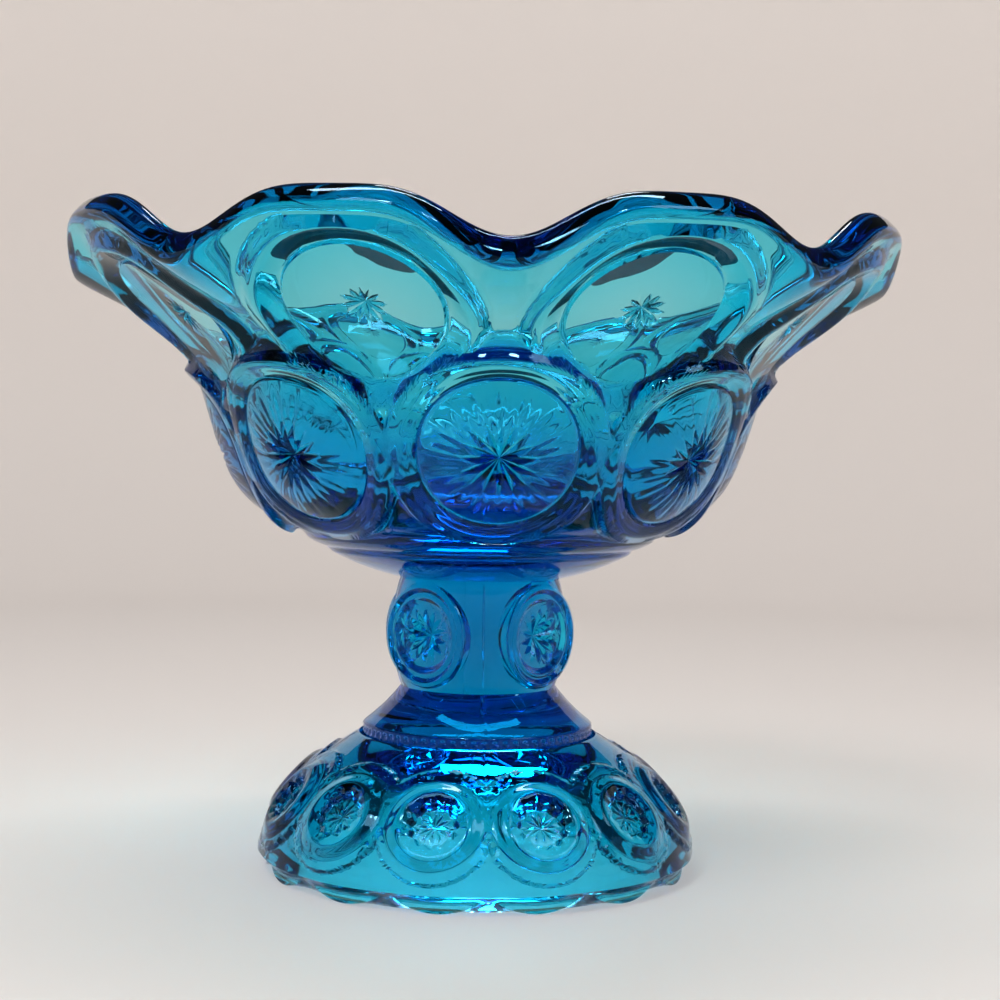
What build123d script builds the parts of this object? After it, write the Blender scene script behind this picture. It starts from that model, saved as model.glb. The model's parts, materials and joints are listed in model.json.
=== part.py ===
from build123d import *
from math import cos, sin, radians
import os

# A pressed-glass footed bowl: one continuous piece of glass, built here as the five sections that
# a glassmaker names.  They stack on the Z axis and meet face to face.
# Millimetres, +Z up.  The origin is the middle of the ring that the foot rests on.
# Angles are turned about Z from the front, -Y, where one mould seam and one rim valley lie.

# ---- heights where the sections meet ----
foot_top = 33.5
shoulder_top = 45.2
knop_top = 72.4
plinth_top = 84.8

# ---- radii where the sections meet ----
foot_top_radius = 29.6
shoulder_edge_radius = 28.6
lower_waist_radius = 19.2
upper_waist_radius = 19.6
bowl_base_radius = 45.6

# ---- bowl and its crimped rim ----
lobe_count = 8
cup_top = 121.0            # below this height the bowl is round, above it the wall is crimped
cup_top_radius = 67.4
cup_slope = 30.0           # degrees from upright
cup_wall = 5.6
cup_floor = 92.5
floor_flat_radius = 26.0
valley_radius = 98.0
lobe_reach = 1.0           # how much further out than a valley a lobe's peak is
oval_stretch = 2.8         # the crimped rim is slightly oval: wider in X than in Y
valley_height = 148.6
lobe_rise = 9.8
oval_rise = 2.0
lobe_fullness = 6
rim_thickness = 6.8
valley_slope = 60.0        # degrees from upright, where the wall ends in the rounded rim
lobe_slope = 40.0
sections_per_half = 32

# ---- lower medallions on the bowl, one under each valley ----
lower_moon_radius = 23.5
lower_moon_centre = (59.6, 104.4)
lower_moon_tilt = -28.5
lower_moon_dome = 4.6
lower_moon_band = 4.6

# ---- upper medallions, one in each lobe ----
upper_moon_radius = 22.5
upper_moon_centre = (78.6, 134.6)
upper_moon_tilt = -45.0
upper_moon_dome = 1.2
upper_moon_band = 4.5

# ---- knop medallions ----
knop_moon_count = 4
knop_moon_radius = 12.3
knop_moon_height = 58.0
knop_moon_reach = 19.8     # from the axis to the plane of a medallion's band
knop_moon_band = 3.0
knop_bulge_radius = 20.6

# ---- foot ----
foot_radius = 54.6
foot_edge_height = 4.6
rest_ring_inner = 45.0
hollow_height = 25.0
hollow_radius = 17.0
foot_moon_count = 12
foot_moon_radius = 11.6
foot_moon_centre = (45.6, 17.0)
foot_moon_tilt = 40.0
foot_moon_band = 2.4
scallop_count = 14
scallop_depth = 1.3
scallop_sphere = 16.0
bead_count = 60
bead_radius = 0.7


def meridian_point(angle, radius, height):
    """A point at a radius and height, turned about Z from the front."""
    return Vector(radius * sin(radians(angle)), -radius * cos(radians(angle)), height)


def seat(angle, radius, height, tilt):
    """A place on the wall at an angle from the front; its Z axis faces out and tilt degrees up."""
    out = Vector(sin(radians(angle)), -cos(radians(angle)), 0)
    normal = out * cos(radians(tilt)) + Vector(0, 0, sin(radians(tilt)))
    sideways = Vector(cos(radians(angle)), sin(radians(angle)), 0)
    return Plane(origin=meridian_point(angle, radius, height), x_dir=sideways, z_dir=normal)


def turned(profile_face):
    """A profile drawn in the XZ plane, turned all the way round Z."""
    return revolve(profile_face, axis=Axis.Z, revolution_arc=360)


def profile(*edges):
    """A closed face in the XZ plane from its edges."""
    return make_face(Plane.XZ * Wire(edges))


def star(points, outer_radius, inner_radius):
    """A flat star with sharp rays."""
    corners = []
    for i in range(2 * points):
        reach = outer_radius if i % 2 == 0 else inner_radius
        turn = radians(180.0 * i / points)
        corners.append((reach * cos(turn), reach * sin(turn)))
    return make_face(Polyline(*corners, close=True))


def medallion(radius, band, dome, root, star_points, star_radius, star_depth=1.0):
    """A round raised medallion: a bevelled band, a domed face and a star pressed into its middle."""
    inner = radius - band
    band_height = 0.35 * band
    crown = ThreePointArc(
        (0, band_height + dome), (0.52 * inner, band_height + 0.74 * dome), (inner, band_height)
    )
    bevel = Line((inner, band_height), (radius, 0))
    side = Line((radius, 0), (radius, -root))
    back = Line((radius, -root), (0, -root))
    centre = Line((0, -root), (0, band_height + dome))
    body = turned(profile(crown, bevel, side, back, centre))
    recess = extrude(star(star_points, star_radius, 0.35 * star_radius), amount=2 * dome + 3)
    floor = band_height + 0.75 * dome - star_depth
    return body - Pos(0, 0, floor) * recess


# ---- bowl ----
def lobe(angle):
    """0 in a valley of the rim, 1 at the peak of a lobe."""
    return 1 - cos(radians(lobe_count * angle / 2)) ** lobe_fullness


def rim_centre(angle):
    """Radius and height of the middle of the rim's rounded edge."""
    oval = cos(radians(2 * angle))
    radius = valley_radius + lobe_reach * lobe(angle) - oval_stretch * oval
    height = valley_height + lobe_rise * lobe(angle) - oval_rise * oval
    return radius - rim_thickness / 2, height - rim_thickness / 2


def flare_section(angle):
    """The crimped wall's closed section at one angle: outside, rounded rim, inside, foot."""
    up = (sin(radians(cup_slope)), cos(radians(cup_slope)))
    slope = radians(valley_slope + (lobe_slope - valley_slope) * lobe(angle))
    out = (sin(slope), cos(slope))
    rim_r, rim_z = rim_centre(angle)
    half = rim_thickness / 2
    outer_end = (rim_r + half * out[1], rim_z - half * out[0])
    inner_end = (rim_r - half * out[1], rim_z + half * out[0])
    tip = (rim_r + half * out[0], rim_z + half * out[1])
    outer_start = (cup_top_radius - 0.3, cup_top)
    inner_start = (cup_top_radius - cup_wall + 0.3, cup_top)

    def at(point):
        return meridian_point(angle, *point)

    def wall(start, end, reach):
        first = (start[0] + reach * up[0], start[1] + reach * up[1])
        second = (end[0] - reach * out[0], end[1] - reach * out[1])
        return Bezier(at(start), at(first), at(second), at(end))

    outside = wall(outer_start, outer_end, 9.0)
    rim = ThreePointArc(at(outer_end), at(tip), at(inner_end))
    inside = wall(inner_start, inner_end, 12.0)
    foot = Line(at(inner_start), at(outer_start))
    return Wire([outside, rim, inside, foot])


def flare():
    """The crimped wall: one half lofted through its sections, and the same half turned over."""
    step = 180.0 / sections_per_half
    half = Solid.make_loft([flare_section(i * step) for i in range(sections_per_half + 1)])
    return half + Rot(0, 0, 180) * half


def cup():
    """The round lower part of the bowl."""
    outer_foot = (bowl_base_radius, plinth_top)
    outer_top = (cup_top_radius, cup_top)
    inner_top = (cup_top_radius - cup_wall, cup_top)
    floor_edge = (floor_flat_radius, cup_floor)
    outside = Bezier(outer_foot, (bowl_base_radius + 8, plinth_top + 5), (60, 106), outer_top)
    lip = Line(outer_top, inner_top)
    inside = Bezier(inner_top, (56, 106), (44, cup_floor), floor_edge)
    floor = Line(floor_edge, (0, cup_floor))
    centre = Line((0, cup_floor), (0, plinth_top))
    base = Line((0, plinth_top), outer_foot)
    return turned(profile(outside, lip, inside, floor, centre, base))


def bowl():
    """The crimped bowl with its two rows of medallions."""
    lower = medallion(lower_moon_radius, lower_moon_band, lower_moon_dome, 5.0, 16, 10.0)
    upper = medallion(upper_moon_radius, upper_moon_band, upper_moon_dome, 3.0, 12, 8.0, 0.8)
    moons = []
    for i in range(lobe_count):
        angle = 360.0 * i / lobe_count
        moons.append(seat(angle, *lower_moon_centre, lower_moon_tilt).location * lower)
        angle = 360.0 * (i + 0.5) / lobe_count
        moons.append(seat(angle, *upper_moon_centre, upper_moon_tilt).location * upper)
    body = cup() + flare() + moons
    return split(body, bisect_by=Plane.XY.offset(plinth_top), keep=Keep.TOP)


# ---- plinth ----
def bowl_plinth():
    """The stepped disc that carries the bowl."""
    step_radius = 38.0
    step_height = 79.6
    outside = ThreePointArc(
        (bowl_base_radius, plinth_top), (42.6, 81.6), (step_radius, step_height)
    )
    riser = Line((step_radius, step_height), (step_radius - 1.0, step_height - 1.2))
    underside = ThreePointArc(
        (step_radius - 1.0, step_height - 1.2), (31.0, 75.6), (upper_waist_radius + 1.2, knop_top)
    )
    base = Line((upper_waist_radius + 1.2, knop_top), (0, knop_top))
    centre = Line((0, knop_top), (0, plinth_top))
    top = Line((0, plinth_top), (bowl_base_radius, plinth_top))
    return turned(profile(outside, riser, underside, base, centre, top))


# ---- stem ----
def stem_knop():
    """The solid swelling of the stem, with a medallion on each of its four diagonals."""
    bulge = ThreePointArc(
        (lower_waist_radius, shoulder_top),
        (knop_bulge_radius, knop_moon_height),
        (upper_waist_radius, knop_top),
    )
    top = Line((upper_waist_radius, knop_top), (0, knop_top))
    centre = Line((0, knop_top), (0, shoulder_top))
    base = Line((0, shoulder_top), (lower_waist_radius, shoulder_top))
    body = turned(profile(bulge, top, centre, base))
    moon = medallion(knop_moon_radius, knop_moon_band, 1.2, 6.0, 12, 6.5, 1.2)
    moons = []
    for i in range(knop_moon_count):
        angle = 360.0 * (i + 0.5) / knop_moon_count
        moons.append(seat(angle, knop_moon_reach, knop_moon_height, 0).location * moon)
    return body + moons


# ---- foot ----
def foot_shoulder():
    """The cone between the stem and the foot, with a row of beads along its lower edge."""
    cone = ThreePointArc(
        (lower_waist_radius, shoulder_top), (23.6, 40.2), (shoulder_edge_radius - 0.6, 36.2)
    )
    edge = Line((shoulder_edge_radius - 0.6, 36.2), (shoulder_edge_radius, 35.4))
    side = Line((shoulder_edge_radius, 35.4), (shoulder_edge_radius, foot_top))
    base = Line((shoulder_edge_radius, foot_top), (0, foot_top))
    centre = Line((0, foot_top), (0, shoulder_top))
    top = Line((0, shoulder_top), (lower_waist_radius, shoulder_top))
    body = turned(profile(cone, edge, side, base, centre, top))
    bead = Sphere(bead_radius)
    beads = PolarLocations(shoulder_edge_radius, bead_count)
    return body + [place * Pos(0, 0, foot_top + 1.1) * bead for place in beads]


def foot():
    """The domed foot, hollow underneath, with a ring of medallions and a scalloped lower edge."""
    shelf = Line((0, foot_top), (foot_top_radius, foot_top))
    dome = Spline(
        (foot_top_radius, foot_top), (36.4, 29.4), (46.4, 18.6), (foot_radius, foot_edge_height)
    )
    edge = Line((foot_radius, foot_edge_height), (foot_radius - 2.4, 0))
    rest = Line((foot_radius - 2.4, 0), (rest_ring_inner, 0))
    hollow = Bezier((rest_ring_inner, 0), (43, 14), (32, hollow_height), (hollow_radius, hollow_height))
    roof = Line((hollow_radius, hollow_height), (0, hollow_height))
    centre = Line((0, hollow_height), (0, foot_top))
    body = turned(profile(shelf, dome, edge, rest, hollow, roof, centre))
    moon = medallion(foot_moon_radius, foot_moon_band, 0.5, 2.0, 10, 4.5, 0.6)
    scallop = Sphere(scallop_sphere)
    moons = []
    for i in range(foot_moon_count):
        angle = 360.0 * (i + 0.5) / foot_moon_count
        moons.append(seat(angle, *foot_moon_centre, foot_moon_tilt).location * moon)
    scallops = []
    reach = foot_radius + scallop_sphere - scallop_depth
    for i in range(scallop_count):
        angle = 360.0 * (i + 0.5) / scallop_count
        scallops.append(Pos(meridian_point(angle, reach, foot_edge_height)) * scallop)
    return (body + moons) - scallops


sections = {
    "foot": foot(),
    "foot_shoulder": foot_shoulder(),
    "stem_knop": stem_knop(),
    "bowl_plinth": bowl_plinth(),
    "bowl": bowl(),
}
os.makedirs("parts", exist_ok=True)
for name, shape in sections.items():
    export_step(shape, f"parts/{name}.step")
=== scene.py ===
"""Looks of a footed pressed-glass bowl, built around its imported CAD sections.

Each glass section is one closed mesh.  Its wall is a surface of an angle about Z and a share s of
the way along its outline; round medallions sit on it as fine polar patches, and the rest of the
wall is triangulated between them.  Sizes are millimetres, and meshes are written in metres.
Angles are radians about Z from the front, -Y.
"""
import json
import math

import bpy
import numpy as np
from mathutils import Matrix, Vector
from mathutils.geometry import delaunay_2d_cdt

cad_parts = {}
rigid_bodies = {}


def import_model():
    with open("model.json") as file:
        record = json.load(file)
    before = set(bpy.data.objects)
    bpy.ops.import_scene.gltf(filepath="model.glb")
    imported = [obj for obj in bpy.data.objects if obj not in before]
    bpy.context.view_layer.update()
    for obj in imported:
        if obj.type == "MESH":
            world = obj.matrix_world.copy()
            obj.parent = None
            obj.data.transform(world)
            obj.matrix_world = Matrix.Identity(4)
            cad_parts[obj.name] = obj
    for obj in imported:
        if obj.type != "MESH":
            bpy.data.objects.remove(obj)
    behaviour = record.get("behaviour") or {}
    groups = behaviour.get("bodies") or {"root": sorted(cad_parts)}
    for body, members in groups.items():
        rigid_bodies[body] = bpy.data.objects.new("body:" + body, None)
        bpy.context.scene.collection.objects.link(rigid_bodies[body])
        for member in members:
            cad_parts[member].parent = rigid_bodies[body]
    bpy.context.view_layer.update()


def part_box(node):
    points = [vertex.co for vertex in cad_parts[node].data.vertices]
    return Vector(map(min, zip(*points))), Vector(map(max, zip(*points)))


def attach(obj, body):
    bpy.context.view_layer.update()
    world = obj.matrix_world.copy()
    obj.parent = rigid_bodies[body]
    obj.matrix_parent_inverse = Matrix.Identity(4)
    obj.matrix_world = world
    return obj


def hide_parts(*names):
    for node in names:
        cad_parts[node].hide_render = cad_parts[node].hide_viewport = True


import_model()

MM = 0.001
TURN = 2 * math.pi

# ---- heights and radii where the sections meet, read from the frame where it has them ----
FOOT_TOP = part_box("foot")[1][2] / MM
SHOULDER_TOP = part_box("foot_shoulder")[1][2] / MM
KNOP_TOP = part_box("stem_knop")[1][2] / MM
PLINTH_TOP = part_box("bowl_plinth")[1][2] / MM
BOWL_BASE_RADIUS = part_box("bowl_plinth")[1][0] / MM
BOWL_SPLIT = (43.0, 81.9)  # on the plinth's flared side, just under the lower medallions
SHOULDER_RADIUS = 28.6
FOOT_TOP_RADIUS = 29.6
LOWER_WAIST_RADIUS = 19.2
UPPER_WAIST_RADIUS = 19.6
JOINT_GAP = 0.02           # between the hidden faces of two sections

# ---- the raised lines where the parts of the mould met ----
SEAMS = 4
SEAM_HEIGHT = 0.11
SEAM_TURN = math.radians(0.55)

# ---- bowl ----
LOBES = 8
CUP_TOP = (67.4, 121.0)
CUP_SLOPE = math.radians(26)
WALL = 5.4                 # its thickness where the cup ends
FLOOR_HEIGHT = 92.5
FLOOR_RADIUS = 26.0
BASE_SHARE = 0.06          # the share of the outside at which the base ends and the cup begins
CUP_SHARE = 0.5            # the share at which the cup ends and the flare begins
RIM_RADIUS = 98.0
LOBE_REACH = 1.0           # how much further out than a valley a lobe's peak is
LOBE_FULLNESS = 4.2        # above 2 the lobes are broad and the valleys narrow
OVAL_STRETCH = 2.8         # the rim is slightly oval, wider in X than in Y
VALLEY_HEIGHT = 148.6
LOBE_RISE = 9.8
OVAL_RISE = 2.0            # and slightly higher at its sides
RIM_TURN = math.radians(-0.3)  # the rim was waved by hand, a little askew to the medallions
RIM_NOSE = (3.0, 4.0)      # the rim's rounded end: its length and half its thickness
NOSE_POWER = 2.7           # above 2 it has a flatter face and tighter corners than an ellipse
VALLEY_SLOPE = math.radians(60)  # from upright, of the wall where it ends in the rim
LOBE_SLOPE = math.radians(46)

# ---- how far the Bezier handles of the bowl's outlines reach ----
BASE_HANDLE = (12.9, 3.7)
CUP_HANDLE = 15
OUTER_FLARE_HANDLES = (13, 12)  # at the cup and at the rim
INNER_FLARE_HANDLES = (12, 12)
INNER_CUP_HANDLE = 16
FLOOR_HANDLE = 18

# ---- foot ----
FOOT_SCOOPS = 14
SCOOP_HALF_WIDTH = 10.8
SCOOP_HOLLOW = 1.3
SCOOP_BULGE = 0.3          # how much further out the edge stands at a scoop's middle
FOOT_CREASE = (54.4, 4.8)  # where the scooped lower edge meets the dome
CREASE_SHARE = 0.14        # the share of the foot's outside at which that crease lies
HOLLOW_HEIGHT = 25.6
REST_OUTER = 48.0
REST_INNER = 45.0

# ---- how the walls are meshed ----
PROBE = 1e-4               # the step by which a wall's slopes are measured
SEARCH_STEPS = 30
SEARCH_REACH = 0.05        # the furthest that one step of a search moves
SEARCH_SHARES = (0.01, 0.99)  # a search stays between these shares
NEAR_SIDE = (-12, 14)      # a medallion acts on points between these heights over its plane
HALO_SHARES = (0.012, 0.985)  # and the rings round a medallion between these
HALO_GAP = 0.35            # how much nearer its own medallion than any other such a point lies
GRID_GAP = 0.45            # how far outside the outermost ring the even rows stop
FIRST_RING = 0.7           # the radius of a medallion's innermost ring
SHARP_ANGLE = math.radians(38)


# ---------------------------------------------------------------- plain geometry
def bezier(points, t):
    """A cubic Bezier; each control point is a pair of numbers or arrays, t is an array."""
    weights = ((1 - t) ** 3, 3 * t * (1 - t) ** 2, 3 * t**2 * (1 - t), t**3)
    r = sum(w * p[0] for w, p in zip(weights, points))
    z = sum(w * p[1] for w, p in zip(weights, points))
    return r, z


def place(angle, r, z):
    """Points at an angle from the front, a radius and a height."""
    angle, r, z = np.broadcast_arrays(angle, r, z)
    return np.stack([r * np.sin(angle), -r * np.cos(angle), z], axis=-1)


def share_between(s, first, last):
    """How far s is on its way from first to last, held between 0 and 1."""
    return np.clip((s - first) / (last - first), 0, 1)


def smooth_steps(x, knots):
    """A curve through (x, height) knots with level ends at each knot."""
    xs = np.array([k[0] for k in knots])
    hs = np.array([k[1] for k in knots])
    i = np.clip(np.searchsorted(xs, x, side="right") - 1, 0, len(xs) - 2)
    t = np.clip((x - xs[i]) / (xs[i + 1] - xs[i]), 0, 1)
    return hs[i] + (hs[i + 1] - hs[i]) * t * t * (3 - 2 * t)


def ridge_wave(angle, count):
    """A triangle wave with count teeth per turn: 0 on the tooth, 1 halfway between teeth."""
    phase = angle * count / TURN
    return np.abs(2 * (phase - np.floor(phase + 0.5)))


def arc_through(a, b, c, steps):
    """Points of the circle through three points, from a to c."""
    (ax, ay), (bx, by), (cx, cy) = a, b, c
    d = 2 * (ax * (by - cy) + bx * (cy - ay) + cx * (ay - by))
    aa, bb, cc = ax**2 + ay**2, bx**2 + by**2, cx**2 + cy**2
    ux = (aa * (by - cy) + bb * (cy - ay) + cc * (ay - by)) / d
    uy = (aa * (cx - bx) + bb * (ax - cx) + cc * (bx - ax)) / d
    start = math.atan2(ay - uy, ax - ux)
    via = math.atan2(by - uy, bx - ux)
    end = math.atan2(cy - uy, cx - ux)
    span = (end - start) % TURN
    if (via - start) % TURN > span:
        span -= TURN
    radius = math.hypot(ax - ux, ay - uy)
    turns = start + span * np.linspace(0, 1, steps + 1)
    return [(ux + radius * math.cos(t), uy + radius * math.sin(t)) for t in turns]


# ---------------------------------------------------------------- meshes
class Skin:
    """Vertices and faces collected into one mesh."""

    def __init__(self):
        self.points = []
        self.faces = []
        self.joint_faces = []
        self.count = 0

    def add(self, points):
        """Adds points and returns their numbers."""
        first = self.count
        points = np.asarray(points, float).reshape(-1, 3)
        self.points.append(points)
        self.count += len(points)
        return np.arange(first, self.count)

    def strip(self, below, above):
        """Quads between two closed rings of equally many vertices; below to above is outward-up."""
        n = len(below)
        for i in range(n):
            j = (i + 1) % n
            self.faces.append((below[i], below[j], above[j], above[i]))

    def cap(self, ring, facing_up, joint=False):
        """Closes a ring with a fan about its middle; joint marks a hidden face between sections."""
        middle = self.add(np.concatenate(self.points)[ring].mean(axis=0))[0]
        n = len(ring)
        for i in range(n):
            j = (i + 1) % n
            face = (ring[i], ring[j], middle) if facing_up else (ring[j], ring[i], middle)
            (self.joint_faces if joint else self.faces).append(face)

    def mesh(self, name):
        """A Blender mesh in metres; the hidden joint faces carry the number 1 in "joint"."""
        mesh = bpy.data.meshes.new(name)
        faces = self.faces + self.joint_faces
        mesh.from_pydata((np.concatenate(self.points) * MM).tolist(), [], faces)
        joint = mesh.attributes.new("joint", "FLOAT", "FACE")
        values = [0.0] * len(self.faces) + [1.0] * len(self.joint_faces)
        joint.data.foreach_set("value", values)
        mesh.update()
        mesh.shade_smooth()
        mesh.set_sharp_from_angle(angle=SHARP_ANGLE)
        return mesh


# ---------------------------------------------------------------- medallions
class Kind:
    """What the medallions of one row share: their place, size, relief and mesh."""

    def __init__(self, centre, tilt, start, rings, radius, segments, relief, skirt, flat=False, halo=()):
        self.centre = centre      # radius and height
        self.tilt = tilt          # how far the face looks up
        self.start = start        # the share s near which the wall passes under the middle
        self.rings = rings        # radii of the rings inside the edge
        self.radius = radius
        self.turns = np.arange(segments) * TURN / segments
        self.relief = relief      # height over the wall at a distance from the middle and a turn
        self.skirt = skirt        # the same outside the medallion's edge, where it fades out
        self.flat = flat          # True if the face lies on a plane instead of following the wall
        self.halo = halo          # how far outside the edge the wall gets rings of its own


class Medallion:
    """A round patch of relief on a wall, seen along its own outward axis."""

    def __init__(self, angle, kind):
        self.angle = angle
        self.kind = kind
        self.radius = kind.radius
        self.centre = place(angle, *kind.centre)
        out = place(angle, 1.0, 0.0)
        up = np.array([0, 0, 1.0])
        self.normal = out * math.cos(kind.tilt) + up * math.sin(kind.tilt)
        self.sideways = np.array([math.cos(angle), math.sin(angle), 0])
        self.upright = up * math.cos(kind.tilt) - out * math.sin(kind.tilt)

    def local(self, points):
        """How far points lie sideways, upright and outwards of the middle."""
        offset = points - self.centre
        return offset @ self.sideways, offset @ self.upright, offset @ self.normal

    def near(self, points, inside, elsewhere):
        """A function of the place on the medallion's plane, for points on its side of the object."""
        u, w, n = self.local(points)
        return np.where((n > NEAR_SIDE[0]) & (n < NEAR_SIDE[1]), inside(u, w), elsewhere)

    def beyond(self, points):
        """How far points lie outside the edge; far off for points on the object's other side."""
        return self.near(points, lambda u, w: np.hypot(u, w) - self.radius, 1000.0)

    def raised(self, points):
        """How high the medallion's surroundings lift the wall at some points."""
        return self.near(points, lambda u, w: self.kind.skirt(np.hypot(u, w), w), 0.0)

    def ring_on(self, wall, radius):
        """Angles and shares on a wall of the points of a ring round the middle, by Newton's method."""
        turns = self.kind.turns
        target = np.stack([radius * np.sin(turns), radius * np.cos(turns)], -1)
        at = np.tile(np.array([self.angle, self.kind.start], float), (len(turns), 1))
        for _ in range(SEARCH_STEPS):
            here = np.stack(self.local(wall(at[:, 0], at[:, 1]))[:2], -1)
            around = np.stack(self.local(wall(at[:, 0] + PROBE, at[:, 1]))[:2], -1) - here
            along = np.stack(self.local(wall(at[:, 0], at[:, 1] + PROBE))[:2], -1) - here
            jacobian = np.stack([around, along], -1) / PROBE
            move = np.linalg.solve(jacobian, (target - here)[..., None])[..., 0]
            at += np.clip(move, -SEARCH_REACH, SEARCH_REACH)
            at[:, 1] = np.clip(at[:, 1], *SEARCH_SHARES)
        return at

    def base(self, wall, edge):
        """The wall's own height over the medallion's plane, as a smooth surface fitted to it."""
        if self.kind.flat:
            return lambda u, w: 0 * u

        def terms(u, w):
            return np.stack([np.ones_like(u), w, u * u, w * w, u * u * w, w**3], -1)

        points = [wall(edge[:, 0], edge[:, 1])]
        middle = edge.mean(axis=0)
        for share in (0.0, 0.4, 0.75):
            inner = middle + (edge - middle) * share
            points.append(wall(inner[:, 0], inner[:, 1]))
        u, w, n = self.local(np.concatenate(points))
        fit = np.linalg.lstsq(terms(u, w), n, rcond=None)[0]
        return lambda u, w: terms(u, w) @ fit

    def build(self, skin, wall, edge, edge_ids, others):
        """Adds the patch inside the edge, whose vertices the skin already has."""
        base = self.base(wall, edge)
        reach = 3 * self.radius
        band_start = 0.8 * self.radius
        neighbours = [m for m in others if np.linalg.norm(m.centre - self.centre) < reach]
        turns = self.kind.turns
        outer = edge_ids
        for rho in self.kind.rings[::-1]:
            u, w = rho * np.sin(turns), rho * np.cos(turns)
            plain = (
                self.centre
                + u[:, None] * self.sideways
                + w[:, None] * self.upright
                + base(u, w)[:, None] * self.normal
            )
            height = self.kind.relief(np.full_like(turns, rho), turns)
            if rho > band_start and not self.kind.flat:
                height = np.maximum(height, ridges(plain, neighbours))
            ring = skin.add(plain + height[:, None] * self.normal)
            skin.strip(ring, outer)
            outer = ring
        height = base(np.zeros(1), np.zeros(1)) + self.kind.relief(np.zeros(1), np.zeros(1))
        middle = skin.add(self.centre + height[:, None] * self.normal)[0]
        for i in range(len(turns)):
            j = (i + 1) % len(turns)
            skin.faces.append((outer[j], outer[i], middle))


def ridges(points, medallions):
    """The highest that any of the medallions' surroundings lift a wall at some points."""
    heights = [m.raised(points) for m in medallions]
    return np.max(heights, axis=0) if heights else np.zeros(len(points))


def ring_radii(spacing, band):
    """Radii of a medallion's rings: even ones over the face, then the ones that its band needs."""
    return list(np.arange(FIRST_RING, band[0], spacing)) + band


# ---------------------------------------------------------------- walls
def outward(wall, at):
    """Unit normals of a wall at pairs of an angle and a share."""
    here = wall(at[:, 0], at[:, 1])
    around = wall(at[:, 0] + PROBE, at[:, 1]) - here
    along = wall(at[:, 0], at[:, 1] + PROBE) - here
    normal = np.cross(around, along)
    return normal / np.linalg.norm(normal, axis=1, keepdims=True)


def seam_angles(count, seams=SEAMS):
    """Even angles, with three more close together at each mould seam; and which are on a seam."""
    angle = np.arange(count) * TURN / count
    if not seams:
        return angle, np.zeros(count, bool)
    beside = [np.array([-SEAM_TURN, 0, SEAM_TURN]) + k * TURN / seams for k in range(seams)]
    beside = np.concatenate(beside)
    apart = np.abs((angle[:, None] - beside[None, :] + math.pi) % TURN - math.pi).min(axis=1)
    angle = np.sort(np.concatenate([angle[apart > 2 * SEAM_TURN], beside % TURN]))
    nearest = np.abs((angle * seams / TURN + 0.5) % 1 - 0.5) * TURN / seams
    return angle, nearest < SEAM_TURN / 2


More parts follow.
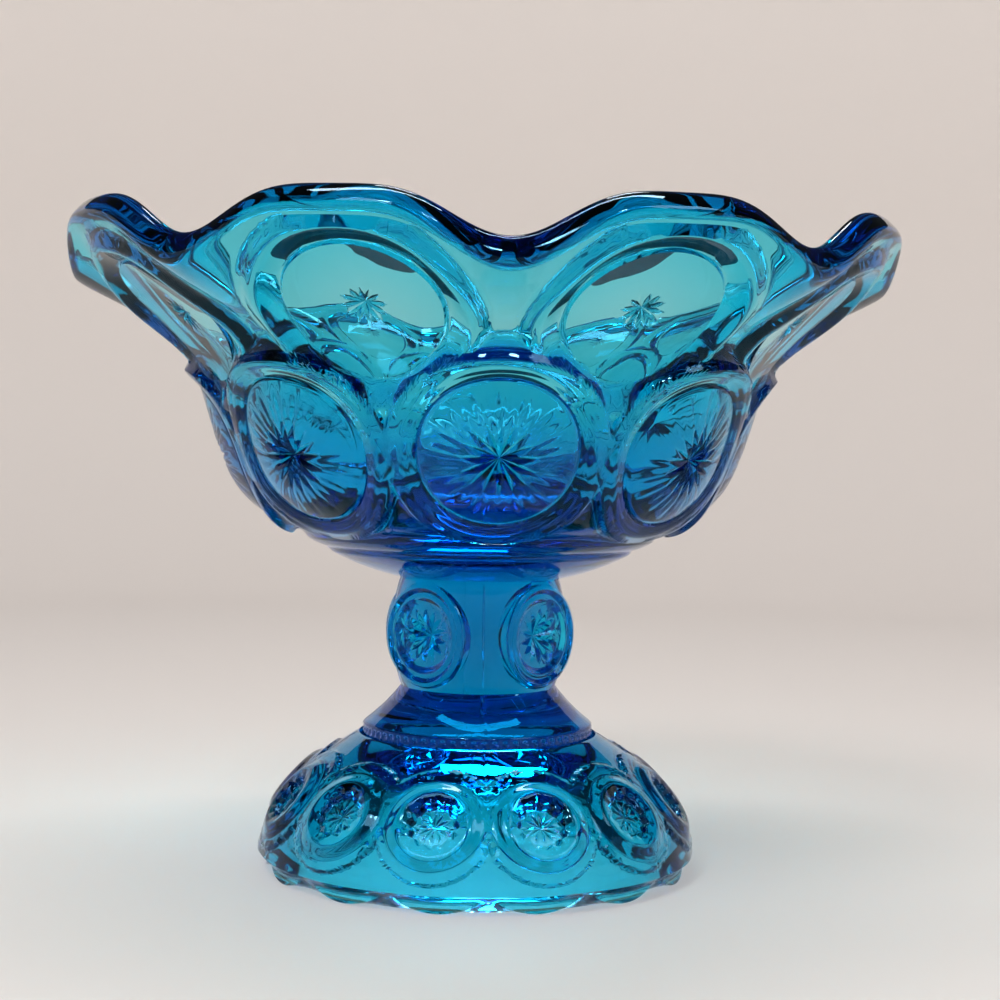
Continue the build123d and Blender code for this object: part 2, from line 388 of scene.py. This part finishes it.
class WallNet:
    """A wall's points, laid out flat as a disc with a hole in it, and the triangles between them.

    A point is laid at its own angle, and 1 + s from the disc's middle.
    """

    def __init__(self, skin, wall, medallions):
        self.skin = skin
        self.wall = wall
        self.medallions = medallions
        self.flat = []
        self.ids = []
        self.edges = []
        self.holes = []           # the numbers of the laid points round each hole
        self.count = 0

    def others(self, medallion):
        return [m for m in self.medallions if m is not medallion]

    def lay(self, at, ids):
        """Lays out vertices of the skin at their angles and shares."""
        reach = 1 + at[:, 1]
        self.flat.append(np.stack([reach * np.cos(at[:, 0]), reach * np.sin(at[:, 0])], -1))
        self.ids.append(ids)
        self.count += len(at)

    def lay_loop(self, at, ids):
        """Lays out a closed loop, which no triangle crosses, and returns the points' numbers."""
        first, n = self.count, len(at)
        self.edges += [(first + i, first + (i + 1) % n) for i in range(n)]
        self.lay(at, ids)
        return range(first, first + n)

    def add_end(self, angle, s):
        """Adds the ring at an end of the wall, and returns where it lies and its vertices."""
        at = np.stack([angle, np.full(len(angle), s)], -1)
        return at, self.skin.add(self.wall(at[:, 0], at[:, 1]))

    def lay_edge(self, medallion):
        """Adds and lays out a medallion's edge, and returns where it lies and its vertices."""
        kind = medallion.kind
        at = medallion.ring_on(self.wall, kind.radius)
        points = self.wall(at[:, 0], at[:, 1])
        lift = np.zeros(len(at))
        if not kind.flat:
            lift = kind.relief(np.full(len(at), kind.radius), kind.turns)
            lift = np.maximum(lift, ridges(points, self.others(medallion)))
        ring = self.skin.add(points + lift[:, None] * medallion.normal)
        self.holes.append(self.lay_loop(at, ring))
        return at, ring

    def lay_raised(self, at, points, extra=0.0):
        """Adds points of the wall, raised by the medallions near them, and lays them out."""
        if len(at):
            lift = ridges(points, self.medallions) + extra
            self.lay(at, self.skin.add(points + lift[:, None] * outward(self.wall, at)))

    def lay_halo(self, medallion):
        """Lays rings of points round a medallion, as far as no other one is nearer."""
        for distance in medallion.kind.halo:
            at = medallion.ring_on(self.wall, medallion.radius + distance)
            points = self.wall(at[:, 0], at[:, 1])
            nearest = np.min([m.beyond(points) for m in self.others(medallion)], axis=0)
            keep = nearest > distance + HALO_GAP
            keep &= (at[:, 1] > HALO_SHARES[0]) & (at[:, 1] < HALO_SHARES[1])
            self.lay_raised(at[keep], points[keep])

    def lay_rows(self, rows, columns, seams):
        """Lays even rows of points over the rest of the wall; without seams, every second one is
        half a column further on."""
        for k, s in enumerate(np.linspace(0, 1, rows + 1)[1:-1]):
            angle, on_seam = seam_angles(columns, seams)
            if not seams:
                angle = angle + 0.5 * (k % 2) * TURN / columns
            at = np.stack([angle, np.full(len(angle), s)], -1)
            points = self.wall(at[:, 0], at[:, 1])
            keep = np.ones(len(angle), bool)
            for m in self.medallions:
                keep &= m.beyond(points) > GRID_GAP + max(m.kind.halo, default=0)
            self.lay_raised(at[keep], points[keep], SEAM_HEIGHT * on_seam[keep])

    def triangulate(self):
        """Adds the triangles between the laid points, but none inside a hole."""
        flat = np.concatenate(self.flat)
        ids = np.concatenate(self.ids)
        whole_hull, epsilon = 0, 1e-7
        laid = [Vector(p) for p in flat]
        result = delaunay_2d_cdt(laid, self.edges, [], whole_hull, epsilon, True)
        triangles, sources = result[2], result[3]
        hole_of = {i: number for number, hole in enumerate(self.holes) for i in hole}
        for triangle in triangles:
            corners = [sources[i][0] for i in triangle]
            holes = {hole_of.get(i) for i in corners}
            if len(holes) == 1 and None not in holes:
                continue
            a, b, c = (flat[i] for i in corners)
            area = (b[0] - a[0]) * (c[1] - a[1]) - (b[1] - a[1]) * (c[0] - a[0])
            face = [int(ids[i]) for i in corners]
            self.skin.faces.append(tuple(face if area < 0 else face[::-1]))


def wall_with_medallions(skin, wall, medallions, end_angles, rows, columns, seams=SEAMS):
    """Adds a wall with its medallions, and returns the rings at its bottom and top."""
    net = WallNet(skin, wall, medallions)
    bottom_at, bottom = net.add_end(end_angles, 0.0)
    top_at, top = net.add_end(end_angles, 1.0)
    net.holes.append(net.lay_loop(bottom_at, bottom))
    net.lay_loop(top_at, top)
    edges = [net.lay_edge(m) for m in medallions]
    for m in medallions:
        net.lay_halo(m)
    net.lay_rows(rows, columns, seams)
    net.triangulate()
    for m, (at, ring) in zip(medallions, edges):
        m.build(skin, wall, at, ring, net.others(m))
    return bottom, top


# ---------------------------------------------------------------- stars
def star_cut(rho, turn, rays, depth, ridge_reach, groove_reach):
    """A pleated star cut below level 0: its grooves run out further than the ridges between them."""
    rise = depth / groove_reach
    pleat = depth / ridge_reach - rise
    return np.minimum(0, -depth + rho * (rise + pleat * ridge_wave(turn, rays)))


def fine_rays(rho, turn, rays, first, last, depth):
    """Narrow grooves that fade out at both ends; every second one is shorter."""
    inner_fade, outer_fade, short_share, sharpness = 2, 4, 0.6, 1.5
    short = ridge_wave(turn, rays / 2) > 0.5
    end = np.where(short, first + short_share * (last - first), last)
    fade = np.clip((rho - first) / inner_fade, 0, 1) * np.clip((end - rho) / outer_fade, 0, 1)
    return -depth * fade * np.clip(1 - sharpness * ridge_wave(turn, rays), 0, 1)


# ---------------------------------------------------------------- lower medallions of the bowl
LOWER_RADIUS = 22.8
LOWER_FACE = 17.8          # the radius of the domed face inside the band
LOWER_LIFT = 2.2           # how much prouder the upper edge stands


def lower_lift(w):
    """The lower medallions stand prouder towards their upper edge."""
    return LOWER_LIFT * np.clip(w / LOWER_RADIUS, 0, 1) ** 1.5


def lower_relief(rho, turn):
    """A plump band between two fine lines, and a domed face with a star."""
    band = smooth_steps(
        rho, [(0, 1.7), (17.5, 1.7), (18.1, 1.1), (18.9, 1.7), (21.4, 2.5), (LOWER_RADIUS, 2.5)]
    )
    dome = 2.5 * np.clip(1 - (rho / LOWER_FACE) ** 2, 0, 1)
    star = star_cut(rho, turn, rays=16, depth=1.7, ridge_reach=4.6, groove_reach=9.6)
    rays = fine_rays(rho, turn, rays=32, first=9.0, last=17.0, depth=0.22)
    return band + dome + star + rays + lower_lift(rho * np.cos(turn))


def lower_skirt(rho, w):
    """The band's outer side, and a softer slope where the medallion stands prouder."""
    edge = smooth_steps(rho, [(LOWER_RADIUS, 2.5), (23.5, 2.3), (25.0, 0.4), (25.9, 0)])
    return edge + lower_lift(w) * smooth_steps(rho, [(23.5, 1), (28.0, 0)])


def lower_kind():
    band = [17.5, 17.8, 18.1, 18.5, 18.9, 19.5, 20.1, 20.7, 21.3, 21.9, 22.4]
    return Kind(
        centre=(57.6, 105.4),
        tilt=math.radians(-30),
        start=0.27,
        rings=ring_radii(1.0, band),
        radius=LOWER_RADIUS,
        segments=128,
        relief=lower_relief,
        skirt=lower_skirt,
        halo=(0.4, 0.8, 1.2, 1.6, 2.0, 2.5, 3.1, 4.0),
    )


# ---------------------------------------------------------------- upper medallions of the bowl
UPPER_RADIUS = 18.6
UPPER_FACE = 17.5
UPPER_DISH = 1.6
UPPER_CREST = 22.4         # the radius where the bevel ends in the crest


def upper_profile(rho):
    """A groove round the face, a straight bevel, and a broad crest that fades out into the wall."""
    bevel = np.interp(rho, (UPPER_FACE, 17.9, 18.3, UPPER_CREST), (0.9, 0.3, -0.2, 2.1))
    crest = smooth_steps(rho, [(UPPER_CREST, 2.1), (23.3, 2.5), (24.2, 2.3), (27.6, 0)])
    return np.where(rho < UPPER_CREST, bevel, crest)


def upper_relief(rho, turn):
    """A dished face with a small star, and the start of the bevel."""
    dish = -UPPER_DISH * np.clip(1 - (rho / UPPER_FACE) ** 2, 0, 1)
    star = star_cut(rho, turn, rays=12, depth=0.9, ridge_reach=2.6, groove_reach=5.0)
    return upper_profile(rho) + dish + star


def upper_kind():
    return Kind(
        centre=(77.6, 133.4),
        tilt=math.radians(-41),
        start=0.72,
        rings=ring_radii(1.0, [17.5, 17.7, 17.9, 18.1, 18.3]),
        radius=UPPER_RADIUS,
        segments=96,
        relief=upper_relief,
        skirt=lambda rho, w: upper_profile(rho),
        halo=(0.6, 1.3, 2.1, 2.9, 3.5, 3.9, 4.4, 5.0, 5.7, 6.5, 7.4),
    )


# ---------------------------------------------------------------- bowl
def lobe(angle):
    """0 in a valley of the rim and 1 at the peak of a lobe."""
    return 1 - np.abs(np.cos((angle - RIM_TURN) * LOBES / 2)) ** LOBE_FULLNESS


def nose_reach(along, across):
    """How far the rim's end reaches in a direction given by its shares along and across the wall."""
    power = NOSE_POWER / (NOSE_POWER - 1)
    return ((RIM_NOSE[0] * along) ** power + (RIM_NOSE[1] * across) ** power) ** (1 / power)


def rim_frame(angle):
    """Where the rim's rounded end begins, mid-wall, and the direction in which it points."""
    oval = np.cos(2 * angle)
    share = lobe(angle)
    slope = VALLEY_SLOPE + (LOBE_SLOPE - VALLEY_SLOPE) * share
    out_r, out_z = np.sin(slope), np.cos(slope)
    r = RIM_RADIUS + LOBE_REACH * share - OVAL_STRETCH * oval - nose_reach(out_r, out_z)
    z = VALLEY_HEIGHT + LOBE_RISE * share - OVAL_RISE * oval - nose_reach(out_z, out_r)
    return r, z, out_r, out_z


def cup_step(reach):
    """A step out and up along the cup's wall, at its slope where it meets the flare."""
    return reach * math.sin(CUP_SLOPE), reach * math.cos(CUP_SLOPE)


def to_rim(angle, t, start, handles, side):
    """A face of the flared wall, t from 0 at the cup to 1 at the rim; side 1 out, -1 in."""
    r, z, out_r, out_z = rim_frame(angle)
    half = side * RIM_NOSE[1]
    end = (r + half * out_z, z - half * out_r)
    before = (end[0] - handles[1] * out_r, end[1] - handles[1] * out_z)
    step_r, step_z = cup_step(handles[0])
    return bezier((start, (start[0] + step_r, start[1] + step_z), before, end), t)


def bowl_outside(angle, s):
    """The bowl's outer wall from its base, s = 0, to the rim, s = 1."""
    t = share_between(s, 0, BASE_SHARE)
    base = [low + (high - low) * t for low, high in zip(BOWL_SPLIT, (BOWL_BASE_RADIUS, PLINTH_TOP))]
    start = (BOWL_BASE_RADIUS, PLINTH_TOP)
    after = (BOWL_BASE_RADIUS + BASE_HANDLE[0], PLINTH_TOP + BASE_HANDLE[1])
    step_r, step_z = cup_step(CUP_HANDLE)
    before = (CUP_TOP[0] - step_r, CUP_TOP[1] - step_z)
    cup = bezier((start, after, before, CUP_TOP), share_between(s, BASE_SHARE, CUP_SHARE))
    flare = to_rim(angle, share_between(s, CUP_SHARE, 1), CUP_TOP, OUTER_FLARE_HANDLES, 1)
    r = np.where(s <= BASE_SHARE, base[0], np.where(s <= CUP_SHARE, cup[0], flare[0]))
    z = np.where(s <= BASE_SHARE, base[1], np.where(s <= CUP_SHARE, cup[1], flare[1]))
    return place(angle, r, z)


def bowl_inside(angle, s):
    """The inside from the rim, s = 0, down to the edge of the flat floor, s = 1."""
    flare_share = 0.5
    slant = 1.08  # a level cut through the sloping wall is this much wider than the wall
    joint = (CUP_TOP[0] - WALL * slant, CUP_TOP[1])
    up_flare = 1 - share_between(s, 0, flare_share)
    flare = to_rim(angle, up_flare, joint, INNER_FLARE_HANDLES, -1)
    step_r, step_z = cup_step(INNER_CUP_HANDLE)
    after = (joint[0] - step_r, joint[1] - step_z)
    before = (FLOOR_RADIUS + FLOOR_HANDLE, FLOOR_HEIGHT)
    end = (FLOOR_RADIUS, FLOOR_HEIGHT)
    cup = bezier((joint, after, before, end), share_between(s, flare_share, 1))
    high = s <= flare_share
    return place(angle, np.where(high, flare[0], cup[0]), np.where(high, flare[1], cup[1]))


def rim_rings(angle, steps):
    """The rings of the rim's rounded end, from the outside over to the inside."""
    r, z, out_r, out_z = rim_frame(angle)
    power = 2 / NOSE_POWER
    for turn in np.linspace(0, math.pi, steps + 1)[1:]:
        along = RIM_NOSE[0] * abs(math.sin(turn)) ** power
        across = RIM_NOSE[1] * math.copysign(abs(math.cos(turn)) ** power, math.cos(turn))
        yield place(angle, r + out_z * across + out_r * along, z - out_r * across + out_z * along)


def bowl_mesh():
    skin = Skin()
    columns, rim_steps, inside_rows = 384, 24, 32
    angle = np.arange(columns) * TURN / columns
    lower, upper = lower_kind(), upper_kind()
    medallions = []
    for k in range(LOBES):
        medallions.append(Medallion(k * TURN / LOBES, lower))
        medallions.append(Medallion((k + 0.5) * TURN / LOBES, upper))
    bottom, top = wall_with_medallions(
        skin, bowl_outside, medallions, angle, rows=76, columns=300, seams=0
    )
    rings = list(rim_rings(angle, rim_steps))
    for s in np.linspace(0, 1, inside_rows + 1)[1:]:
        rings.append(bowl_inside(angle, np.full(columns, s)))
    rings += [place(angle, FLOOR_RADIUS * share, FLOOR_HEIGHT) for share in (0.66, 0.33)]
    below = top
    for points in rings:
        ring = skin.add(points)
        skin.strip(below, ring)
        below = ring
    skin.cap(below, facing_up=True)
    skin.cap(bottom, facing_up=False, joint=True)
    return skin.mesh("bowl_glass")


# ---------------------------------------------------------------- turned sections
def lathe(name, profile, columns=192, relief=None):
    """A solid of revolution from its outline, bottom to top, with a joint face at each end."""
    skin = Skin()
    angle, on_seam = seam_angles(columns)
    rings = []
    for r, z in profile:
        extra = relief(angle, z) if relief else 0
        rings.append(skin.add(place(angle, r + extra + SEAM_HEIGHT * on_seam, z)))
    for below, above in zip(rings, rings[1:]):
        skin.strip(below, above)
    skin.cap(rings[0], facing_up=False, joint=True)
    skin.cap(rings[-1], facing_up=True, joint=True)
    return skin.mesh(name)


def plinth_mesh():
    waist = UPPER_WAIST_RADIUS + 1.2
    under = arc_through((waist, KNOP_TOP + JOINT_GAP), (31.0, 75.6), (37.0, 78.4), 22)
    riser = [(37.6, 78.9), (37.9, 79.5)]
    split = (BOWL_SPLIT[0], BOWL_SPLIT[1] - JOINT_GAP)
    side = arc_through((38.2, 79.8), (40.8, 80.6), split, 10)
    return lathe("bowl_plinth_glass", under + riser + side)


def beading(angle, z):
    """A row of beads round the shoulder's upright edge, as shallow dents between them."""
    beads, depth, height, spread = 72, 0.35, 34.6, 0.55
    row = math.exp(-(((z - height) / spread) ** 2))
    return -depth * row * (0.5 + 0.5 * np.cos(angle * beads))


def shoulder_mesh():
    side_top = 35.6
    side = [(SHOULDER_RADIUS, z) for z in np.linspace(FOOT_TOP + JOINT_GAP, side_top, 12)]
    edge = [(SHOULDER_RADIUS - 0.15, 35.95), (SHOULDER_RADIUS - 0.5, 36.3)]
    top = (LOWER_WAIST_RADIUS, SHOULDER_TOP - JOINT_GAP)
    cone = arc_through((27.4, 36.9), (23.4, 40.4), top, 20)
    return lathe("foot_shoulder_glass", side + edge + cone, 480, beading)


# ---------------------------------------------------------------- knop
KNOP_MOONS = 4
KNOP_BULGE = 2.3


def knop_wall(angle, s):
    """The knop's outer wall, from its lower joint, s = 0, to its upper one, s = 1."""
    z = SHOULDER_TOP + JOINT_GAP + (KNOP_TOP - SHOULDER_TOP - 2 * JOINT_GAP) * s
    bulge = 1 - (2 * s - 1) ** 2
    waist = LOWER_WAIST_RADIUS + (UPPER_WAIST_RADIUS - LOWER_WAIST_RADIUS) * s
    return place(angle, waist + KNOP_BULGE * bulge, z)


def knop_relief(rho, turn):
    """Two raised rings round a dished face with a deep star."""
    rings = smooth_steps(
        rho, [(0, -0.5), (7.6, -0.4), (9.5, 0.5), (10.3, 0.1), (11.5, 1.0), (12.3, 0.6), (12.9, -0.1)]
    )
    return rings + star_cut(rho, turn, rays=14, depth=2.1, ridge_reach=4.6, groove_reach=7.2)


def knop_kind():
    band = [7.2, 7.6, 8.2, 8.8, 9.2, 9.5, 9.8, 10.1, 10.4, 10.8, 11.2, 11.5, 11.8, 12.1, 12.4, 12.7]
    return Kind(
        centre=(19.9, 58.8),
        tilt=0.0,
        start=0.48,
        rings=ring_radii(0.5, band),
        radius=12.9,
        segments=112,
        relief=knop_relief,
        skirt=lambda rho, w: 0 * rho,
        flat=True,
    )


def knop_mesh():
    skin = Skin()
    angle, _ = seam_angles(192)
    kind = knop_kind()
    medallions = [Medallion((k + 0.5) * TURN / KNOP_MOONS, kind) for k in range(KNOP_MOONS)]
    bottom, top = wall_with_medallions(skin, knop_wall, medallions, angle, rows=40, columns=192)
    skin.cap(bottom, facing_up=False, joint=True)
    skin.cap(top, facing_up=True, joint=True)
    return skin.mesh("stem_knop_glass")


# ---------------------------------------------------------------- foot
FOOT_MOONS = 12
FOOT_MOON_RADIUS = 12.0
FOOT_MOON_STEP = 12.7      # the radius where a fine groove ends and the low step begins


def foot_edge(angle):
    """Radius and height of the foot's lower edge, and how deep in a lens-shaped scoop it lies."""
    inset, height, drop = 2.4, 3.2, 2.8
    from_middle = np.abs((angle * FOOT_SCOOPS / TURN) % 1 - 0.5) * TURN * FOOT_CREASE[0] / FOOT_SCOOPS
    scoop = np.clip(1 - (from_middle / SCOOP_HALF_WIDTH) ** 2, 0, 1)
    return FOOT_CREASE[0] - inset + SCOOP_BULGE * scoop, height - drop * scoop, scoop


def foot_outside(angle, s):
    """The foot's outer wall, from its scalloped lower edge, s = 0, to the joint, s = 1."""
    edge_r, edge_z, scoop = foot_edge(angle)
    t = share_between(s, 0, CREASE_SHARE)
    crease_r = FOOT_CREASE[0] - SCOOP_BULGE * (1 - scoop)
    hollow = -SCOOP_HOLLOW * scoop * np.sin(math.pi * t)
    bevel_r = edge_r + (crease_r - edge_r) * t + hollow
    bevel_z = edge_z + (FOOT_CREASE[1] - edge_z) * t
    top = (FOOT_TOP_RADIUS, FOOT_TOP - JOINT_GAP)
    outline = ((crease_r, FOOT_CREASE[1]), (52.6, 13.5), (44.0, 25.0), top)
    dome = bezier(outline, share_between(s, CREASE_SHARE, 1))
    low = s <= CREASE_SHARE
    return place(angle, np.where(low, bevel_r, dome[0]), np.where(low, bevel_z, dome[1]))


def foot_relief(rho, turn):
    """A plump ring round a recess with a scalloped edge and a star on its floor."""
    recess, spread, scallops, scallop_share = 5.4, 1.4, 12, 0.17
    near_recess = np.exp(-(((rho - recess) / spread) ** 2))
    scalloped = rho * (1 + scallop_share * (ridge_wave(turn, scallops) - 0.5) * near_recess)
    ring = smooth_steps(
        scalloped, [(0, -0.4), (4.6, -0.3), (5.9, 1.3), (8.2, 2.0), (FOOT_MOON_RADIUS, 0.8)]
    )
    return ring + star_cut(rho, turn, rays=12, depth=0.5, ridge_reach=2.0, groove_reach=4.4)


def foot_skirt(rho, w):
    """Falls to a low step round the medallions, further from them above than below."""
    reach_below, more_above, climb = 13.2, 1.8, 8
    height, width = 0.75, 0.6
    reach = reach_below + more_above * np.clip(w / climb, 0, 1)
    step = height * (1 - smooth_steps(rho - reach, [(0, 0), (width, 1.0)]))
    groove = smooth_steps(rho, [(FOOT_MOON_RADIUS, 0.8), (12.3, 0.35), (FOOT_MOON_STEP, height)])
    return np.where(rho < FOOT_MOON_STEP, groove, step)


def foot_kind():
    recess = [4.1, 4.4, 4.7, 5.0, 5.3, 5.6, 5.9, 6.3, 6.9, 7.6]
    ring = [8.4, 9.2, 10.0, 10.6, 10.9, 11.1, 11.4, 11.7]
    return Kind(
        centre=(45.4, 17.4),
        tilt=math.radians(38),
        start=0.5,
        rings=ring_radii(0.5, recess + ring),
        radius=FOOT_MOON_RADIUS,
        segments=72,
        relief=foot_relief,
        skirt=foot_skirt,
    )


def foot_underside(angle):
    """The rings of the underside, from the outer edge to the middle of the hollow."""
    edge_r, edge_z, _ = foot_edge(angle)
    for t in (0.35, 0.7, 1.0):
        yield place(angle, edge_r + (REST_OUTER - edge_r) * t, edge_z * (1 - t))
    for r in (47.5, REST_INNER):
        yield place(angle, r, 0.0)
    outline = ((REST_INNER, 0.0), (43.6, 14.0), (32.0, HOLLOW_HEIGHT), (0.0, HOLLOW_HEIGHT))
    for r, z in zip(*bezier(outline, np.linspace(0, 1, 31)[1:-1])):
        yield place(angle, r, z)


def foot_mesh():
    skin = Skin()
    angle, _ = seam_angles(480)
    kind = foot_kind()
    medallions = [Medallion((k + 0.5) * TURN / FOOT_MOONS, kind) for k in range(FOOT_MOONS)]
    bottom, top = wall_with_medallions(skin, foot_outside, medallions, angle, rows=72, columns=360)
    outer = bottom
    for points in foot_underside(angle):
        ring = skin.add(points)
        skin.strip(ring, outer)
        outer = ring
    skin.cap(outer, facing_up=False)
    skin.cap(top, facing_up=True, joint=True)
    return skin.mesh("foot_glass")


# ---------------------------------------------------------------- glass
GLASS_IOR = 1.51
REFLECTION_TINT = (0.2, 0.6, 0.9, 1)
VOLUME_TINT = (0.0, 0.870, 0.956, 1)
VOLUME_DENSITY = 260.0
WAVES_PER_METRE = 70.0
WAVE_STRENGTH = 0.25
WAVE_HEIGHT = 0.0004


def unbent_joints(tree):
    """The glass's refractive index on a section's skin, and 1 on its hidden joint faces, where the
    real glass runs through and bends no light."""
    joint = tree.nodes.new("ShaderNodeAttribute")
    joint.attribute_name = "joint"
    index = tree.nodes.new("ShaderNodeMath")
    index.operation = "MULTIPLY_ADD"
    tree.links.new(joint.outputs["Fac"], index.inputs[0])
    index.inputs[1].default_value = 1 - GLASS_IOR
    index.inputs[2].default_value = GLASS_IOR
    return index.outputs[0]


def waviness(tree):
    """The faint waviness of pressed and fire-polished glass."""
    noise = tree.nodes.new("ShaderNodeTexNoise")
    noise.inputs["Scale"].default_value = WAVES_PER_METRE
    noise.inputs["Detail"].default_value = 2.0
    position = tree.nodes.new("ShaderNodeTexCoord")
    tree.links.new(position.outputs["Object"], noise.inputs["Vector"])
    bump = tree.nodes.new("ShaderNodeBump")
    bump.inputs["Strength"].default_value = WAVE_STRENGTH
    bump.inputs["Distance"].default_value = WAVE_HEIGHT
    tree.links.new(noise.outputs["Fac"], bump.inputs["Height"])
    return bump.outputs["Normal"]


def glass_material():
    """Blue glass, coloured through: aqua where it is thin and navy where it is thick."""
    material = bpy.data.materials.new("blue_glass")
    material.use_nodes = True
    tree = material.node_tree
    tree.nodes.clear()
    output = tree.nodes.new("ShaderNodeOutputMaterial")
    surface = tree.nodes.new("ShaderNodeBsdfPrincipled")
    surface.inputs["Base Color"].default_value = (1, 1, 1, 1)
    surface.inputs["Roughness"].default_value = 0.0
    surface.inputs["IOR"].default_value = GLASS_IOR
    surface.inputs["Transmission Weight"].default_value = 1.0
    surface.inputs["Specular Tint"].default_value = REFLECTION_TINT
    tree.links.new(unbent_joints(tree), surface.inputs["IOR"])
    tree.links.new(waviness(tree), surface.inputs["Normal"])
    tree.links.new(surface.outputs["BSDF"], output.inputs["Surface"])
    tint = tree.nodes.new("ShaderNodeVolumeAbsorption")
    tint.inputs["Color"].default_value = VOLUME_TINT
    tint.inputs["Density"].default_value = VOLUME_DENSITY
    tree.links.new(tint.outputs["Volume"], output.inputs["Volume"])
    return material


# ---------------------------------------------------------------- stage, in metres
def stage_material():
    material = bpy.data.materials.new("pale_stage")
    material.use_nodes = True
    shader = material.node_tree.nodes["Principled BSDF"]
    shader.inputs["Base Color"].default_value = (0.84, 0.78, 0.74, 1)
    shader.inputs["Roughness"].default_value = 0.6
    shader.inputs["Specular IOR Level"].default_value = 0.2
    return material


def sweep():
    """A round pale floor that curves up into a low wall, the same from every side."""
    inner_radius, floor_radius, bend, height = 0.35, 0.75, 0.30, 0.51
    columns = 96
    turns = np.linspace(0, math.pi / 2, 13)
    profile = [(inner_radius, 0.0)]
    profile += [(floor_radius + bend * math.sin(t), bend * (1 - math.cos(t))) for t in turns]
    profile += [(floor_radius + bend, height)]
    angle = np.arange(columns) * TURN / columns
    points = [(0.0, 0.0, 0.0)]
    for r, z in profile:
        points += place(angle, r, z).tolist()
    faces = [(0, 1 + i, 1 + (i + 1) % columns) for i in range(columns)]
    for row in range(len(profile) - 1):
        low, high = 1 + row * columns, 1 + (row + 1) * columns
        for i in range(columns):
            j = (i + 1) % columns
            faces.append((low + i, high + i, high + j, low + j))
    mesh = bpy.data.meshes.new("studio_sweep")
    mesh.from_pydata(points, [], faces)
    mesh.shade_smooth()
    mesh.materials.append(stage_material())
    stage = bpy.data.objects.new("studio_sweep", mesh)
    bpy.context.scene.collection.objects.link(stage)
    return stage


def studio_sky():
    """A pale horizon that darkens towards the ceiling, so that thick glass edges read dark."""
    world = bpy.data.worlds.new("studio")
    bpy.context.scene.world = world
    world.use_nodes = True
    nodes, links = world.node_tree.nodes, world.node_tree.links
    direction = nodes.new("ShaderNodeTexCoord")
    height = nodes.new("ShaderNodeSeparateXYZ")
    links.new(direction.outputs["Generated"], height.inputs["Vector"])
    ramp = nodes.new("ShaderNodeValToRGB")
    links.new(height.outputs["Z"], ramp.inputs["Fac"])
    horizon, ceiling = ramp.color_ramp.elements
    horizon.position = 0.10
    horizon.color = (0.62, 0.60, 0.58, 1)
    ceiling.position = 0.28
    ceiling.color = (0.03, 0.035, 0.04, 1)
    links.new(ramp.outputs["Color"], nodes["Background"].inputs["Color"])


# name: (place, width and depth, watts, whether the glass casts a shadow in its light)
LAMPS = {
    "key": ((-0.45, -0.75, 1.15), (0.45, 0.45), 4.4, True),
    "fill": ((0.70, -0.50, 1.0), (0.40, 0.35), 2.6, False),
    "back": ((0.1, 0.75, 1.2), (0.34, 0.16), 2.0, False),
    "overhead": ((0.0, 0.15, 1.2), (0.85, 0.10), 4.0, True),
    "left_sparkle": ((-0.22, -0.55, 0.95), (0.10, 0.08), 1.6, False),
    "right_sparkle": ((0.20, -0.60, 0.95), (0.12, 0.06), 1.6, False),
}
LAMP_TARGET = (0, 0, 0.1)


def lights(stage):
    """Soft lamps; most shine through the glass, so that its shadow stays faint."""
    stage_only = bpy.data.collections.new("stage_only")
    stage_only.objects.link(stage)
    for name, (location, size, power, glass_shadow) in LAMPS.items():
        lamp = bpy.data.lights.new(name, "AREA")
        lamp.shape = "RECTANGLE"
        lamp.size, lamp.size_y = size
        lamp.energy = power
        light = bpy.data.objects.new(name, lamp)
        bpy.context.scene.collection.objects.link(light)
        light.location = location
        light.rotation_mode = "QUATERNION"
        aim = Vector(LAMP_TARGET) - Vector(location)
        light.rotation_quaternion = aim.to_track_quat("-Z", "Y")
        if not glass_shadow:
            light.light_linking.blocker_collection = stage_only


# ---------------------------------------------------------------- camera
def camera():
    """Seen from the front, a little to the left and low, with a slight roll."""
    distance, height = 0.450, 0.104
    azimuth = math.radians(-3.4)
    pan = math.radians(0.6)
    pitch = math.radians(-1.59)
    roll = math.radians(0.95)
    data = bpy.data.cameras.new("camera")
    data.sensor_width = 36.0
    data.lens = 64.8
    cam = bpy.data.objects.new("camera", data)
    bpy.context.scene.collection.objects.link(cam)
    cam.location = (distance * math.sin(azimuth), -distance * math.cos(azimuth), height)
    look = Matrix.Rotation(azimuth - pan, 4, "Z")
    tip = Matrix.Rotation(math.pi / 2 + pitch, 4, "X")
    cam.rotation_mode = "QUATERNION"
    cam.rotation_quaternion = (look @ tip @ Matrix.Rotation(roll, 4, "Z")).to_quaternion()
    bpy.context.scene.camera = cam


# ---------------------------------------------------------------- the scene
glass = glass_material()
sections = {
    "bowl": bowl_mesh,
    "bowl_plinth": plinth_mesh,
    "stem_knop": knop_mesh,
    "foot_shoulder": shoulder_mesh,
    "foot": foot_mesh,
}
for node, make in sections.items():
    mesh = make()
    mesh.materials.append(glass)
    piece = bpy.data.objects.new(mesh.name, mesh)
    bpy.context.scene.collection.objects.link(piece)
    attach(piece, "root")
    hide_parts(node)

stage = sweep()
studio_sky()
lights(stage)
camera()
scene = bpy.context.scene
scene.cycles.max_bounces = 32
scene.cycles.transmission_bounces = 32
scene.cycles.transparent_max_bounces = 32
scene.view_settings.view_transform = "Standard"
